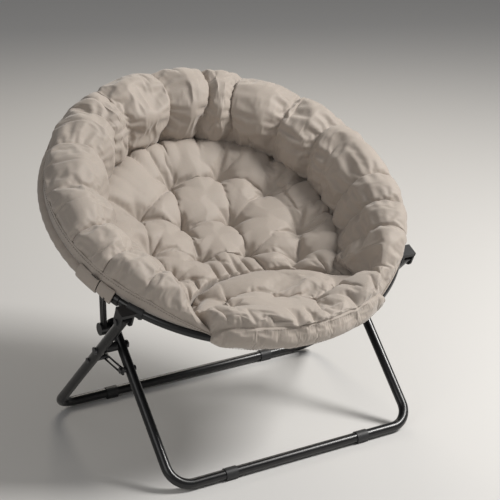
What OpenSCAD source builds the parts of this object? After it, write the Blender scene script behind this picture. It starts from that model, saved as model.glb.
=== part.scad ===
// Folding saucer chair: a tilted hoop in two hinged halves on crossed tube legs,
// with a tufted seat and back inside a thick gathered roll.

/* [Hoop] */
// Radius of the hoop's centre line
hoop_r = 401; // [385:1:415]
// Outer diameter of the hoop tube
hoop_d = 20; // [19:0.5:21]
// Angle of the hoop above level, from front to back
hoop_tilt = 26.5; // [25:0.5:28]
// Height of the hoop's centre above the floor
hoop_z = 485; // [478:1:495]
// Distance of the hoop's centre behind the middle of the feet
hoop_y = 70; // [64:1:76]
// Distance of the hinge line in front of the hoop's centre
hinge_front = 155; // [150:1:160]

/* [Legs] */
// Outer diameter of the leg tubes
leg_d = 22; // [21:0.5:23]
// Wall of every tube
wall = 1.5; // [1.2:0.1:1.8]
// Distance between the two floor bars
feet_gap = 486; // [476:1:496]
// Distance of the rear legs outside the hoop where they carry it
saddle_reach = 24.5; // [24:0.5:26]
// Gap between the front and rear legs where they cross
leg_gap = 27; // [25:1:29]
// Radius of the corners at the floor
corner_r = 48; // [42:1:56]
// Height of the leg crossing above the floor
cross_z = 250; // [245:1:255]
// Distance of the leg crossing in front of the middle of the feet
cross_front = 12; // [8:1:16]
// Length of the rear legs above the crossing
rear_top = 160; // [156:1:164]
// Length of the front legs above the crossing
front_top = 45; // [43:1:47]
// Half the distance between the sleeves on the front floor bar
front_sleeve_x = 166; // [140:1:200]
// Half the distance between the sleeves on the rear floor bar
rear_sleeve_x = 210; // [160:1:240]

/* [Fittings] */
// Outer diameter of the floor sleeves
sleeve_d = 27; // [26:0.5:29]
// Length of the floor sleeves
sleeve_len = 28; // [24:1:34]
// Diameter of the hinge pins and studs
pin_d = 8; // [7:0.5:8.5]
// Diameter of the bolts at the leg crossing
bolt_d = 10; // [9:0.5:11]
// Distance of the brace link's ends from the leg crossing
brace_r = 56; // [54:0.5:58]
// Wire diameter of the brace link
wire_d = 4.5; // [4:0.25:5]

/* [Cushions] */
// Depth of the cloth dish below the hoop
dish = 165; // [155:1:172]
// Thickness of the back pad
pad_t = 74; // [68:1:78]
// Depth of the level seat below the hoop at its back seam
seat_low = 62; // [58:1:66]
// Radial width of the gathered roll
roll_w = 116; // [108:1:120]
// Height of the gathered roll
roll_h = 104; // [96:1:110]
// Depth of the gathers in the roll, as a share of its section
gather_share = 0.12; // [0.06:0.01:0.16]
// Depth of the back's tufts, as a share of the pad's thickness
tuft_share = 0.45; // [0.2:0.05:0.6]
// Depth of the seat's tufts, as a share of the pad's thickness
seat_tuft_share = 0.25; // [0.1:0.05:0.4]

/* [Hidden] */
$fn = 64;

// Clearances: running fits, and air between parts that only lie beside each other
fit = 0.05;
air = 0.3;
eps = 0.01;
over = 1;

// Colours
black = [0.05, 0.05, 0.055];
plastic = [0.09, 0.09, 0.095];
steel = [0.55, 0.56, 0.58];
cloth = [0.62, 0.57, 0.52];
lining = [0.12, 0.12, 0.125];

// Floor bars stand on their sleeves
bar_z = sleeve_d / 2;
bar_y = feet_gap / 2;

// Directions of the legs in the side view, from the floor bar up
front_lean = atan2(cross_z - bar_z, bar_y - cross_front);
rear_lean = 180 - atan2(cross_z - bar_z, bar_y + cross_front);
front_low = norm([cross_z - bar_z, bar_y - cross_front]);
rear_low = norm([cross_z - bar_z, bar_y + cross_front]);
tube_end_share = 0.6;
tube_end = tube_end_share * leg_d;

// Where the rear legs meet the front half of the hoop, in the hoop's own plane:
// u runs from its centre to the back and v is square to it
saddle_y = -cross_front + rear_top * cos(rear_lean);
saddle_z = cross_z + rear_top * sin(rear_lean);
function hoop_u(y, z) = (y - hoop_y) * cos(hoop_tilt) + (z - hoop_z) * sin(hoop_tilt);
function hoop_v(y, z) = (z - hoop_z) * cos(hoop_tilt) - (y - hoop_y) * sin(hoop_tilt);
saddle_u = hoop_u(saddle_y, saddle_z);
saddle_v = hoop_v(saddle_y, saddle_z);
saddle_hoop_x = sqrt(hoop_r * hoop_r - saddle_u * saddle_u);
saddle_a = atan2(-saddle_u, saddle_hoop_x);

// Planes across the chair, as distances from its middle
rear_x = saddle_hoop_x + saddle_reach;
front_x = rear_x - leg_d - leg_gap;
rear_w = 2 * rear_x;
front_w = 2 * front_x;
front_face = front_x + leg_d / 2;
rear_face = rear_x - leg_d / 2;
brace_gap = 8;
brace_x = front_face + brace_gap;
strut_foot_x = (front_face + rear_face) / 2;

// Hinge line of the hoop
hinge_a = asin(hinge_front / hoop_r);
hinge_x = hoop_r * cos(hinge_a);
mm_a = 180 / (PI * hoop_r);
tube_stop = 32;
socket_near = 28;
socket_far = 52;
socket_wall = 3;
tube_gap_a = tube_stop * mm_a;
socket_a0 = socket_near * mm_a;
socket_a1 = socket_far * mm_a;
socket_d = hoop_d + 2 * socket_wall;
eye_r = 11;
ear_t = 4;
tongue_t = 6;

// Strut between the back half of the hoop and the front legs
strut_top_back = 25;
strut_top_low = 14;
strut_top_in = 17;
strut_play = 1.4;
strut_top_u = strut_top_back - hinge_front;
strut_top_v = -strut_top_low;
strut_top_x = hinge_x - strut_top_in;
strut_t = 6;
strut_w = 22;
foot_y = -cross_front + front_top * cos(front_lean);
foot_z = cross_z + front_top * sin(front_lean);
foot_u = hoop_u(foot_y, foot_z);
foot_v = hoop_v(foot_y, foot_z);
foot_r = 14;
foot_play = 5.5;

// Y position of the middle of the chair's outline, taken as its own origin
front_swell = 23;
back_swell = 3;
front_reach = hoop_r * cos(hoop_tilt) - hoop_y + front_swell;
back_reach = hoop_y + hoop_r * cos(hoop_tilt) + back_swell;
mid_y = (back_reach - front_reach) / 2;

// Sections of the roll
roll_sides = 14;
roll_in = 5;
roll_out = hoop_r - roll_in;
roll_up = 34;
roll_base = 20;
tip_a = 31;
blunt_a = 46;
belly = 60;
shoulder = 20;
side_back = 95;
side_u = side_back - hinge_front;
lobe_a = 19.5;
sleeve_wall = 3.7;
strut_clear = 3;

// Dish, seat and back outlines
dish_in = 14;
dish_r = hoop_r - dish_in;
lining_t = 3;
pad_gap = 4;
seam_gap = 1.2;
seat_arc_share = 0.5736;
seat_r = seat_arc_share * hoop_r;
seat_back = 126;
seat_u = -seat_back - seat_r;
seat_half_share = 0.4788;
seat_half = seat_half_share * hoop_r;
seat_front_in = 3;
seat_front_r = hoop_r - hoop_d - seat_front_in;
seat_side_rise = 24;
pad_under = 19;
back_r = hoop_r - roll_w + pad_under;
back_half_share = 0.94;
back_half = back_half_share * back_r;
edge_t = 18;
rim_thin_share = 0.5;
thin = 4;
roll_gap = 5;
side_share = 0.3;
seat_lift_share = 0.35;
back_lift_share = 0.12;
notch_in = 58;
notch_x = hinge_x - notch_in;

module place() translate([0, -mid_y, 0]) children();
module on_hoop() translate([0, hoop_y, hoop_z]) rotate([hoop_tilt, 0, 0]) children();
module side(s) mirror([s < 0 ? 1 : 0, 0, 0]) children();
module both() for (s = [-1, 1]) side(s) children();
module crossing() translate([0, -cross_front, cross_z]) children();

// Cylinder along X from x0 to x1
module rod_x(x0, x1, d) translate([x0, 0, 0]) rotate([0, 90, 0]) cylinder(d = d, h = x1 - x0);

module bore_x(x0, x1, d) rod_x(x0, x1, d + 2 * fit);

// Arc of the hoop with round section d, between angles from the right side
module arc(d, a0, a1, r = hoop_r)
    rotate([0, 0, a0]) rotate_extrude(angle = a1 - a0) translate([r, 0]) circle(d = d);

module tube_arc(d, a0, a1) difference() {
    arc(d, a0, a1);
    arc(d - 2 * wall, a0 - 3 * mm_a, a1 + 3 * mm_a);
}

// Solid of one side of a leg frame: half a floor bar, the corner and the leg
module leg_path(d, w, x0, low, top, spare) {
    rod_x(x0 - spare, w / 2 - corner_r, d);
    translate([w / 2 - corner_r, corner_r, 0]) rotate([0, 0, -90])
        rotate_extrude(angle = 90) translate([corner_r, 0]) circle(d = d);
    translate([w / 2, corner_r, 0]) rotate([-90, 0, 0])
        cylinder(d = d, h = low + top + tube_end + spare - corner_r);
}

// Leg with the cross holes at given distances above its floor bar
module leg(w, x0, low, top, holes) difference() {
    leg_path(leg_d, w, x0, low, top, 0);
    leg_path(leg_d - 2 * wall, w, x0, low, top, over);
    for (h = holes) translate([0, h[0], 0])
        bore_x(w / 2 - leg_d, w / 2 + leg_d, h[1]);
}

module front_plane() translate([0, -bar_y, bar_z]) rotate([front_lean, 0, 0]) children();
module rear_plane() translate([0, bar_y, bar_z]) rotate([rear_lean, 0, 0]) children();

module front_leg(s) color(black) place() side(s) front_plane()
    leg(front_w, front_sleeve_x, front_low, front_top,
        [[front_low, bolt_d], [front_low - brace_r, pin_d], [front_low + front_top, pin_d]]);

module rear_leg(s) color(black) place() side(s) rear_plane()
    leg(rear_w, rear_sleeve_x, rear_low, rear_top,
        [[rear_low, bolt_d], [rear_low - brace_r, pin_d], [rear_low + rear_top, pin_d]]);

// Floor bar whose reduced ends slide into the leg tubes
module floor_bar(x) {
    neck_d = leg_d - 2 * wall - 2 * fit;
    neck_len = 24;
    difference() {
        union() {
            rod_x(-x, x, leg_d);
            rod_x(-x - neck_len, x + neck_len, neck_d);
        }
        rod_x(-x - 2 * neck_len, x + 2 * neck_len, neck_d - 2 * wall);
    }
}
module at_bar(y) place() translate([0, y, bar_z]) children();
module front_floor_bar() color(black) at_bar(-bar_y) floor_bar(front_sleeve_x);
module rear_floor_bar() color(black) at_bar(bar_y) floor_bar(rear_sleeve_x);

// Plastic sleeves over the joints of the floor bar, each with a flat foot
module floor_sleeve(x) both() difference() {
    foot_w = 16;
    foot_t = 0.5;
    foot_h = sleeve_d / 4;
    union() {
        rod_x(x - sleeve_len / 2, x + sleeve_len / 2, sleeve_d - 2 * foot_t);
        translate([x - sleeve_len / 2, -foot_w / 2, -bar_z]) cube([sleeve_len, foot_w, foot_h]);
    }
    bore_x(x - sleeve_len, x + sleeve_len, leg_d);
}
module front_floor_sleeves() color(plastic) at_bar(-bar_y) floor_sleeve(front_sleeve_x);
module rear_floor_sleeves() color(plastic) at_bar(bar_y) floor_sleeve(rear_sleeve_x);

// Plugs in the upper ends of the legs
module leg_plug(x, h) both() translate([x, h + tube_end, 0]) rotate([90, 0, 0]) {
    cap_t = 2.5;
    stem = 5;
    translate([0, 0, -cap_t]) cylinder(d = leg_d, h = cap_t);
    translate([0, 0, -eps]) cylinder(d = leg_d - 2 * wall - 2 * fit, h = stem);
}
module front_leg_plugs() color(plastic) place() front_plane()
    leg_plug(front_x, front_low + front_top);
module rear_leg_plugs() color(plastic) place() rear_plane()
    leg_plug(rear_x, rear_low + rear_top);

// Bolt through both legs where they cross, with a nut inside and a head outside
head_t = 4;
rivet_t = 3;
rivet_lip = 2;
bolt_lip = 3.5;
bolt_end = 2;
module crossing_bolts() color(steel) place() crossing() both() {
    out_x = rear_x + leg_d / 2;
    in_x = front_x - leg_d / 2;
    rod_x(out_x, out_x + head_t, bolt_d + 2 * bolt_lip);
    rod_x(in_x - head_t - bolt_end, out_x + eps, bolt_d);
    rod_x(in_x - head_t, in_x, bolt_d + 2 * bolt_lip);
}
module crossing_spacers() color(plastic) place() crossing() both() difference() {
    rod_x(front_face + air, rear_face, 2 * bolt_d);
    bore_x(front_face, rear_face + over, bolt_d);
}

// Brace link: a wire loop with a plate, riveted to the front leg and sliding on the rear leg's stud
brace_len = 2 * brace_r * sin((rear_lean - front_lean) / 2);
slot_play = 0.5;
brace_half = pin_d / 2 + slot_play + wire_d / 2;
plate_r = 9;
plate_lip = 1;
rivet_d = pin_d + 2 * rivet_lip;
rivet_shank_d = pin_d - rivet_lip;
brace_in = brace_x - wire_d / 2 - air;
brace_out = brace_x + wire_d / 2 + air;
module down_leg(lean) crossing() rotate([lean, 0, 0]) translate([0, -brace_r, 0])
    rotate([-lean, 0, 0]) children();

module brace_rivets() color(steel) place() down_leg(front_lean) both() {
    in_x = front_x - leg_d / 2;
    rod_x(in_x - head_t / 2, in_x, rivet_d);
    rod_x(in_x - eps, brace_out + eps, rivet_shank_d);
    rod_x(front_face, brace_in, rivet_d);
    rod_x(brace_out, brace_out + rivet_t, rivet_d);
}
module brace_studs() color(steel) place() down_leg(rear_lean) both() {
    out_x = rear_x + leg_d / 2;
    rod_x(out_x, out_x + rivet_t, rivet_d);
    rod_x(brace_in - eps, out_x + eps, pin_d);
    rod_x(brace_out, rear_face, rivet_d);
    rod_x(brace_in - rivet_t, brace_in, rivet_d);
}
module brace_link(s) color(black) place() side(s) down_leg(front_lean)
    rotate([(front_lean + rear_lean) / 2 - 90, 0, 0]) difference() {
        plate_half = brace_half + plate_lip;
        union() {
            translate([brace_x - wire_d / 2, plate_lip - plate_r, -plate_half])
                cube([wire_d, 2 * plate_r - plate_lip, 2 * plate_half]);
            for (k = [-1, 1]) translate([brace_x, plate_r / 2, k * brace_half])
                rotate([-90, 0, 0]) cylinder(d = wire_d, h = brace_len - plate_r / 2);
            translate([brace_x, brace_len, 0]) rotate([90, 0, 90]) rotate([0, 0, -90])
                rotate_extrude(angle = 180) translate([brace_half, 0]) circle(d = wire_d);
        }
        bore_x(brace_x - wire_d, brace_x + wire_d, rivet_shank_d);
    }

// Front and back halves of the hoop
module front_hoop_tube() color(black) place() on_hoop()
    tube_arc(hoop_d, 180 + hinge_a + tube_gap_a, 360 - hinge_a - tube_gap_a);
module back_hoop_tube() color(black) place() on_hoop()
    tube_arc(hoop_d, tube_gap_a - hinge_a, 180 + hinge_a - tube_gap_a);

// Saddle: a sleeve round the front half of the hoop with two ears for the rear leg
saddle_half = 18;
saddle_half_a = saddle_half * mm_a;
saddle_wall = 3.5;
saddle_ear_t = 4;
saddle_pin_out = rear_x + leg_d / 2 + air + saddle_ear_t;
saddle_pin_in = rear_face - air - saddle_ear_t;
screw_d = 4;
screw_in = 11;
screw_a = screw_in * mm_a;
module at_saddle() translate([0, saddle_u, saddle_v]) children();
module at_saddle_screw()
    rotate([0, 0, -saddle_a - screw_a]) translate([hoop_r, 0, -hoop_d / 2]) children();
module saddle(s) color(plastic) place() on_hoop() side(s) difference() {
    ear_r = 14;
    bridge_v = 22;
    bridge_t = 8;
    bridge_half = 15;
    bridge_in = min(saddle_hoop_x, saddle_pin_in);
    union() {
        arc(hoop_d + 2 * saddle_wall, -saddle_a - saddle_half_a, -saddle_a + saddle_half_a);
        at_saddle() for (x = [saddle_pin_in, saddle_pin_out - saddle_ear_t]) {
            rod_x(x, x + saddle_ear_t, 2 * ear_r);
            translate([x, -ear_r, 0]) cube([saddle_ear_t, 2 * ear_r, bridge_v + bridge_t]);
        }
        at_saddle() translate([bridge_in, -bridge_half, bridge_v])
            cube([saddle_pin_out - bridge_in, 2 * bridge_half, bridge_t]);
    }
    arc(hoop_d + 2 * fit, -saddle_a - 3 * saddle_half_a, -saddle_a + 3 * saddle_half_a);
    at_saddle() bore_x(saddle_pin_in - over, saddle_pin_out + over, pin_d);
    at_saddle_screw() translate([0, 0, -hoop_d]) cylinder(d = screw_d + 2 * fit, h = hoop_d);
}
pin_lip = 2.5;
pin_end = 2;
module saddle_pins() color(steel) place() on_hoop() at_saddle() both() {
    rod_x(saddle_pin_in - pin_end, saddle_pin_out + eps, pin_d);
    rod_x(saddle_pin_out, saddle_pin_out + rivet_t, pin_d + 2 * pin_lip);
}
// Screws that clamp the saddles to the hoop from below
module saddle_screws() color(steel) place() on_hoop() both() at_saddle_screw() {
    translate([0, 0, -saddle_wall - head_t]) cylinder(d = 2 * screw_d, h = head_t);
    translate([0, 0, -saddle_wall - eps]) cylinder(d = screw_d, h = saddle_wall - fit);
}

// Hinge of the hoop: forks on the front half, tongues on the back half, pins along X
module at_hinge() translate([0, -hinge_front, 0]) children();
bar_reach = 34;
ear_in = hinge_x - tongue_t / 2 - air - ear_t;
ear_out = hinge_x + tongue_t / 2 + air;
module hinge_fork(s) color(black) place() on_hoop() side(s) difference() {
    bar_top = 2;
    bar_low = 9;
    block = 18;
    block_in = 12;
    union() {
        arc(socket_d, -hinge_a - socket_a1, -hinge_a - socket_a0);
        at_hinge() for (x = [ear_in, ear_out]) {
            rod_x(x, x + ear_t, 2 * eye_r);
            translate([x, -bar_reach, -bar_low]) cube([ear_t, bar_reach, bar_low + bar_top]);
        }
        at_hinge() translate([hinge_x - block_in, -bar_reach, -bar_low])
            cube([ear_out + ear_t - hinge_x + block_in, bar_reach - block, bar_low + bar_top]);
    }
    arc(hoop_d + 2 * fit, -hinge_a - 2 * socket_a1, -hinge_a - tube_gap_a);
    at_hinge() bore_x(ear_in - over, ear_out + ear_t + over, pin_d);
}
module hinge_tongue(s) color(black) place() on_hoop() side(s) difference() {
    bar_top = 3;
    bar_low = 8;
    lug_r = 9;
    tongue_in = hinge_x - tongue_t / 2;
    union() {
        arc(socket_d, -hinge_a + socket_a0, -hinge_a + socket_a1);
        at_hinge() rod_x(tongue_in, tongue_in + tongue_t, 2 * eye_r);
        at_hinge() translate([tongue_in, 0, -bar_low])
            cube([tongue_t, bar_reach, bar_low + bar_top]);
        translate([0, strut_top_u, strut_top_v])
            rod_x(tongue_in, tongue_in + tongue_t, 2 * lug_r);
    }
    arc(hoop_d + 2 * fit, -hinge_a + tube_gap_a, -hinge_a + 2 * socket_a1);
    at_hinge() bore_x(hinge_x - tongue_t, hinge_x + tongue_t, pin_d);
    translate([0, strut_top_u, strut_top_v])
        bore_x(hinge_x - tongue_t, hinge_x + tongue_t, pin_d);
}
module hinge_pins() color(steel) place() on_hoop() at_hinge() both() {
    rod_x(ear_in - pin_end, ear_out + ear_t + eps, pin_d);
    rod_x(ear_out + ear_t, ear_out + ear_t + rivet_t, rivet_d);
}

// Struts that carry the back half of the hoop on the front legs
strut_in = strut_top_x - strut_t / 2 - strut_play;
strut_out = strut_top_x + strut_t / 2 + strut_play;
module strut_top_pins() color(steel) place() on_hoop()
    translate([0, strut_top_u, strut_top_v]) both() {
        rod_x(strut_in - rivet_t, strut_in, rivet_d);
        rod_x(strut_in - eps, hinge_x + tongue_t / 2, pin_d);
        rod_x(strut_out, hinge_x - tongue_t / 2, rivet_d);
    }
strut_run = norm([foot_u - strut_top_u, foot_v - strut_top_v]);
strut_turn = atan2(foot_v - strut_top_v, foot_u - strut_top_u);
strut_step = strut_foot_x - strut_top_x;
foot_half = 9;
foot_wall = 2;
module strut(s) color(black) place() on_hoop() side(s)
    translate([0, strut_top_u, strut_top_v]) rotate([strut_turn, 0, 0]) difference() {
        rib_h = 1;
        rib_w = 3.5;
        rib_start = 12;
        slope = atan2(strut_step, strut_run);
        length = norm([strut_run, strut_step]);
        foot_in = strut_foot_x - foot_half;
        foot_out = strut_foot_x + foot_half;
        union() {
            rod_x(strut_top_x - strut_t / 2, strut_top_x + strut_t / 2, strut_w + 2 * rib_h);
            translate([0, strut_run, 0]) rod_x(foot_in, foot_out + foot_wall, 2 * foot_r);
            translate([strut_top_x, 0, 0]) rotate([0, 0, -slope]) {
                translate([-strut_t / 2, 0, -strut_w / 2]) cube([strut_t, length, strut_w]);
                for (k = [-1, 0, 1])
                    translate([-strut_t / 2 - rib_h, rib_start, k * strut_w / 3 - rib_w / 2])
                        cube([strut_t + 2 * rib_h, length - 2 * foot_r, rib_w]);
            }
        }
        bore_x(strut_top_x - strut_t, strut_top_x + strut_t, pin_d);
        translate([0, strut_run, 0]) rod_x(foot_in - foot_half, foot_out, pin_d + 2 * foot_play);
    }
// Pins of the front legs that the struts' feet turn on
module strut_foot_pins() color(steel) place() translate([0, foot_y, foot_z]) both() {
    in_x = front_x - leg_d / 2;
    rod_x(in_x - rivet_t, in_x, rivet_d);
    rod_x(in_x - eps, strut_foot_x + foot_half - foot_wall, pin_d);
}

// Cloth sleeve round the back half of the hoop
module back_rim_sleeve() color(cloth) place() on_hoop() difference() {
    arc(hoop_d + 2 * sleeve_wall, socket_a1 + mm_a - hinge_a, 180 + hinge_a - socket_a1 - mm_a);
    arc(hoop_d + 2 * fit, -hinge_a, 180 + hinge_a);
}
// Padded front edge of the cover round the front half of the hoop
rim_a = 29;
module front_rim_padding() color(cloth) place() on_hoop() difference() {
    rim_out = 2.5;
    rim_up = 14;
    rim_half_w = 17;
    rim_half_h = 31;
    rotate([0, 0, 270 - rim_a]) rotate_extrude(angle = 2 * rim_a)
        translate([hoop_r + rim_out, rim_up]) scale([rim_half_w / rim_half_h, 1])
            circle(r = rim_half_h);
    arc(hoop_d + 2 * fit, 270 - 2 * rim_a, 270 + 2 * rim_a);
}
// Stitched bands under the front ends of the roll
module front_rim_bands() color(cloth) place() on_hoop() both() {
    band_t = 3;
    band_h = 20;
    start_a = rim_a + 2 - 90;
    rotate([0, 0, start_a]) rotate_extrude(angle = -hinge_a - saddle_half_a - start_a)
        translate([roll_out + air, hoop_d / 2 + saddle_wall + air]) square([band_t, band_h]);
}

// Cloth dish slung from the hoop, cut along the hinge line and round the hinge fittings
ball_r = (dish_r * dish_r + dish * dish) / (2 * dish);
ball_v = ball_r - dish;
module dish_solid() rotate_extrude() intersection() {
    translate([0, ball_v - lining_t]) difference() {
        circle(r = ball_r, $fn = 180);
        circle(r = ball_r - lining_t, $fn = 180);
    }
    translate([0, -dish - 2 * lining_t]) square([dish_r, dish + lining_t]);
}
module hinge_notches(u0, u1) both()
    translate([notch_x, u0, -dish]) cube([hoop_r, u1 - u0, 2 * dish]);
module dish_cut(u) translate([-hoop_r, u, -dish - hoop_r]) cube(2 * hoop_r);
module back_sling() color(lining) place() on_hoop() difference() {
    dish_solid();
    dish_cut(air - hinge_front - 2 * hoop_r);
    hinge_notches(-2 * hinge_front, side_u);
}
module front_sling() color(lining) place() on_hoop() difference() {
    dish_solid();
    dish_cut(-air - hinge_front);
    hinge_notches(saddle_u - 2 * eye_r, 0);
}

// Top of the dish at a point, and how far a tuft there draws a pad in
function dish_v(x, u) = ball_v - sqrt(ball_r * ball_r - x * x - u * u);
function dent(x, u, t) = exp(-(pow(x / hoop_r - t[0], 2) + pow(u / hoop_r - t[1], 2)) / tuft_area);
function dents(x, u, tufts) = max([for (t = tufts) dent(x, u, t)]);
// Share of the crown's height left at a point: full at the outer edges, none at the seam
function crown(f, g, seam) = (1 - side_share * pow(abs(f), 4))
    * sqrt(1 - pow(max(0, seam * g), 6)) * (1 - side_share * pow(max(0, -seam * g), 4));
// Underside of the roll at a point, where the roll is drawn out at its full section
function roll_low(x, u) =
    let (a = atan2(u, abs(x)), s = abs(a + 90) < tip_a ? 0 : taper(a), r = norm([x, u]),
         c = s == 0 ? 2 : (r - roll_out) / (roll_w / 2 * s) + 1, k = sqrt(max(0, 1 - c * c)))
    abs(c) >= 1 ? 2 * pad_t : roll_base + (roll_up - roll_base) * min(1, 2 * s)
        - s * k * (roll_h / 2 + belly * max(0, -c));

// Pad over a grid: f runs across the chair and g from front to back, both from -1 to 1.
// It fills the dish up to a given height, drawn in at its edges and at the tufts. Its
// underside lifts off the dish past the hinge line, where the other half swings by.
module pad(nf, ng, half, u_front, u_back, height, tufts, depth_share, seam, lift_share) {
    beds = [for (i = [0:nf]) for (j = [0:ng])
        let (f = 2 * i / nf - 1, g = 2 * j / ng - 1, x = half * f,
             u = (u_front(x) * (1 - g) + u_back(x) * (1 + g)) / 2)
        [x, u, dish_v(x, u) + pad_gap + lift_share * max(0, seam * (u + hinge_front)), f, g]];
    top = [for (b = beds) let (x = b[0], u = b[1], v = dish_v(x, u) + pad_gap + edge_t)
        [x, u, max(b[2] + thin, min(roll_low(x, u) - roll_gap, v
            + (height(x, u) - v) * crown(b[3], b[4], seam) * (1 - depth_share * dents(x, u, tufts))))]];
    low = [for (b = beds) [b[0], b[1], b[2]]];
    n = (nf + 1) * (ng + 1);
    w = ng + 1;
    function turned(t, flip) = flip ? [t[0], t[2], t[1]] : t;
    function quad(a, b, c, d, flip) = [turned([a, b, c], flip), turned([a, c, d], flip)];
    polyhedron(concat(top, low), concat(
        [for (i = [0:nf - 1]) for (j = [0:ng - 1]) for (h = [0, n])
            for (t = quad(h + i * w + j, h + i * w + j + 1, h + i * w + w + j + 1,
                          h + i * w + w + j, h > 0)) t],
        [for (i = [0:nf - 1]) for (e = [0, ng])
            for (t = quad(i * w + e, i * w + w + e, n + i * w + w + e, n + i * w + e, e > 0)) t],
        [for (j = [0:ng - 1]) for (e = [0, nf])
            for (t = quad(e * w + j, n + e * w + j, n + e * w + j + 1, e * w + j + 1, e > 0)) t]));
}
tuft_area = 0.0056;
seat_tuft_shares = [[-0.252, -0.574], [-0.339, -0.721], [-0.008, -0.693], [0.11, -0.748], [0.322, -0.708]];
back_tuft_shares = [[-0.414, 0.165], [-0.105, 0.38], [0.2, 0.394], [0.424, 0.204], [-0.16, 0.09],
    [0.16, 0.09], [-0.224, -0.175], [0.075, -0.2], [0.41, -0.137], [-0.436, -0.15]];
function seam_u(x) = seat_u + sqrt(max(0, seat_r * seat_r - x * x));
function seat_back_u(x) = seam_u(x) - seam_gap / 2;
function seat_front_u(x) = -sqrt(seat_front_r * seat_front_r - x * x);
function back_back_u(x) = sqrt(back_r * back_r - x * x);
function back_front_u(x) = max(-back_back_u(x), seam_u(x) + seam_gap / 2);
function seat_height(x, u) = -seat_low - (u + seat_back) * tan(hoop_tilt)
    + seat_side_rise * pow(x / seat_half, 2);
function back_height(x, u) = dish_v(x, u) + pad_gap
    + pad_t * (1 - rim_thin_share * pow(norm([x, u]) / back_r, 4));
module seat_pad() color(cloth) place() on_hoop()
    pad(18, 14, seat_half, function(x) seat_front_u(x), function(x) seat_back_u(x),
        function(x, u) seat_height(x, u), seat_tuft_shares, seat_tuft_share, 1, seat_lift_share);
module back_pad() color(cloth) place() on_hoop()
    pad(24, 20, back_half, function(x) back_front_u(x), function(x) back_back_u(x),
        function(x, u) back_height(x, u), back_tuft_shares, tuft_share, -1, back_lift_share);

// Gathered roll: sections swept round the hoop, drawn in between the lobes, and pressed
// flat from below where it lies over the tops of the struts
tip_share = 0.06;
strut_share = 0.1;
function taper(a) = let (t = (abs(a + 90) - tip_a) / (blunt_a - tip_a))
    t >= 1 ? 1 : sqrt(max(t, 0) * (1 - tip_share) + tip_share);
function lobe(a) = let (f = a / lobe_a - floor(a / lobe_a), m = 2 * min(f, 1 - f))
    1 - gather_share * pow(1 - m, 2);
side_a = asin(side_u / hoop_r);
strut_v = strut_top_v + strut_w / 2 + strut_clear;
function over_strut(a, k) = abs(a - 90) > 90 - side_a - eps && abs(a - 90) < 90 + hinge_a
    && cos(k) > -strut_share;
function section(a, k) =
    let (s = taper(a), g = s * lobe(a), half_w = roll_w / 2, half_h = roll_h / 2,
         r = roll_out - half_w * s + half_w * g * cos(k),
         v = roll_base + (roll_up - roll_base) * min(1, 2 * s) + half_h * g * sin(k)
             - belly * s * max(0, -cos(k)) * max(0, -sin(k))
             + shoulder * s * max(0, cos(k)) * max(0, sin(k)))
    [r * cos(a), r * sin(a), over_strut(a, k) ? max(v, strut_v) : v];
module roll(a0, a1, rings) {
    n = roll_sides;
    points = [for (i = [0:rings]) for (k = [0:n - 1])
        section(a0 + (a1 - a0) * i / rings, 360 * k / n)];
    polyhedron(points, concat(
        [[for (k = [0:n - 1]) k]],
        [[for (k = [0:n - 1]) rings * n + n - 1 - k]],
        [for (i = [0:rings - 1]) for (k = [0:n - 1]) for (h = [0, 1])
            let (p = i * n + k, q = i * n + (k + 1) % n)
            h == 0 ? [p, p + n, q + n] : [p, q + n, q]]));
}
module roll_front(s) color(cloth) place() on_hoop() side(s)
    roll(tip_a - 90, -hinge_a - air * mm_a, 14);
module roll_side(s) color(cloth) place() on_hoop() side(s)
    roll(air * mm_a - hinge_a, side_a, 6);
module roll_back() color(cloth) place() on_hoop()
    roll(side_a, 180 - side_a, 64);

rear_leg(-1);  // rear_leg_left
rear_leg(1);  // rear_leg_right
rear_floor_bar();
rear_floor_sleeves();
rear_leg_plugs();
crossing_bolts();
crossing_spacers();
brace_studs();
front_leg(-1);  // front_leg_left
front_leg(1);  // front_leg_right
front_floor_bar();
front_floor_sleeves();
front_leg_plugs();
brace_rivets();
strut_foot_pins();
brace_link(-1);  // brace_link_left
brace_link(1);  // brace_link_right
front_hoop_tube();
saddle(-1);  // saddle_left
saddle(1);  // saddle_right
saddle_pins();
saddle_screws();
hinge_fork(-1);  // hinge_fork_left
hinge_fork(1);  // hinge_fork_right
hinge_pins();
front_rim_padding();
front_rim_bands();
seat_pad();
front_sling();
roll_front(-1);  // roll_front_left
roll_front(1);  // roll_front_right
back_hoop_tube();
hinge_tongue(-1);  // hinge_tongue_left
hinge_tongue(1);  // hinge_tongue_right
strut_top_pins();
strut(-1);  // strut_left
strut(1);  // strut_right
back_rim_sleeve();
back_sling();
back_pad();
roll_side(-1);  // roll_side_left
roll_side(1);  // roll_side_right
roll_back();
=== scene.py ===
import math

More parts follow.
